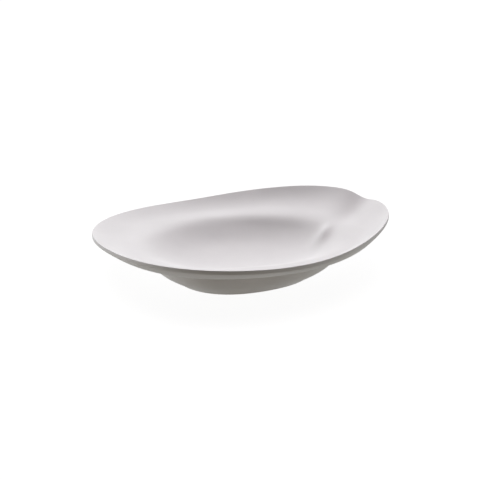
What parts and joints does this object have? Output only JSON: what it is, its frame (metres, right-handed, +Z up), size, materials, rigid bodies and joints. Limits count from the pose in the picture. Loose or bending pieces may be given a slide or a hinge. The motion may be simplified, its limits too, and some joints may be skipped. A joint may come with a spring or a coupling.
{
  "type": "serving dish",
  "caption": "Shallow free-form ceramic dish with an oval well, a wide flange rising to the lip, a soft pinch in the rim and a hollow foot.",
  "frame": {"origin": "on the table plane, under the middle of the dish's outline seen from above", "axes": "+X along the longest side, towards the end with the crease; +Y towards the straighter side of the lip; +Z up"},
  "size_m": [0.2705, 0.2262, 0.0458],
  "materials": {
    "matt_ceramic": "matte"
  },
  "bodies": {
    "root": {"dish_body": "matt_ceramic"}
  },
  "joints": []
}
